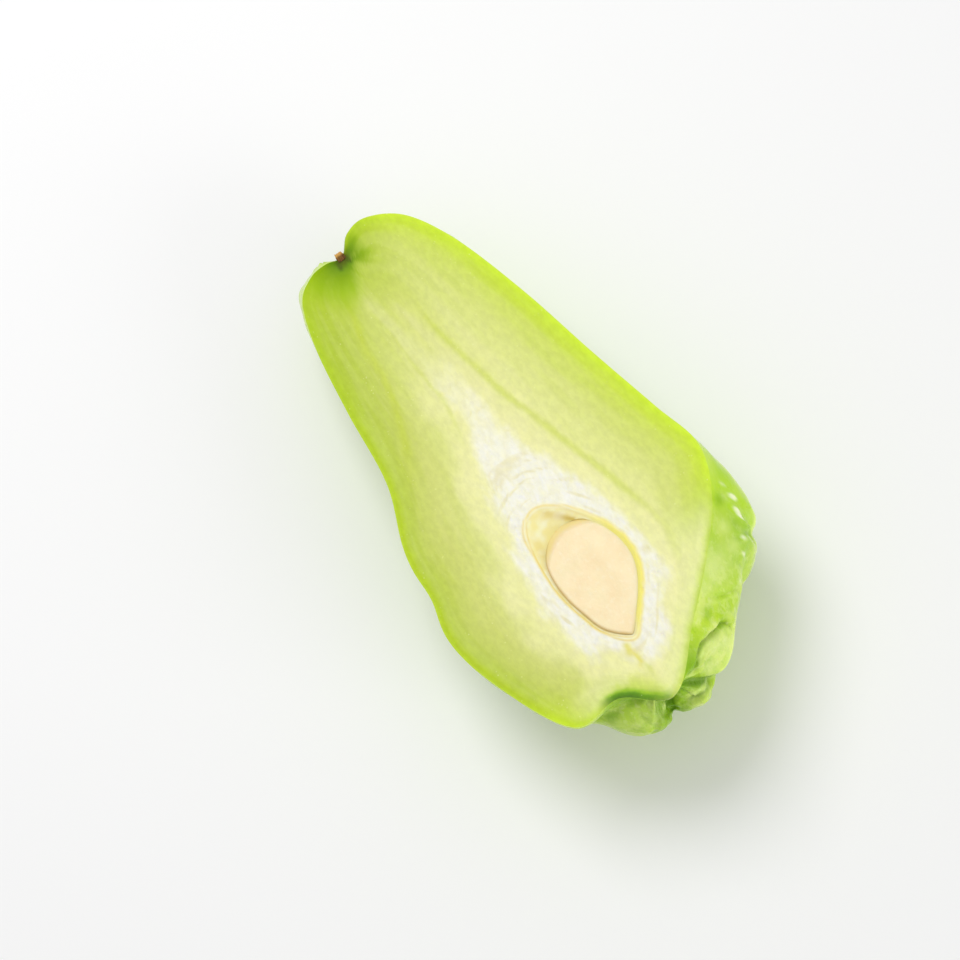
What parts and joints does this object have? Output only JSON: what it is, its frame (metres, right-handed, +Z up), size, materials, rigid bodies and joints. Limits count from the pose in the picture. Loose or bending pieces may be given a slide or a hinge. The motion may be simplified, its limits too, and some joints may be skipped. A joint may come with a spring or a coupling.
{
  "type": "halved chayote squash",
  "caption": "Chayote squash cut lengthwise, lying on its furrowed green skin with the pale cut face up and the split seed in its hollow; fresh produce for kitchen and market scenes.",
  "frame": {"origin": "middle of the footprint, on the surface the half lies on", "axes": "+X from the stem end to the blossom end, +Z up; the cut face looks up and leans 7 degrees towards the stem end and 5 degrees towards -Y"},
  "size_m": [0.1424, 0.073, 0.0389],
  "materials": {
    "flesh_and_skin": "wet pale flesh on the cut face, waxy green skin",
    "seed": "cut seed, satin, cream",
    "dried_stem": "dry, matt, brown"
  },
  "bodies": {
    "root": {"fruit_half": "flesh_and_skin", "seed_half": "seed", "stem_stub": "dried_stem"}
  },
  "joints": []
}
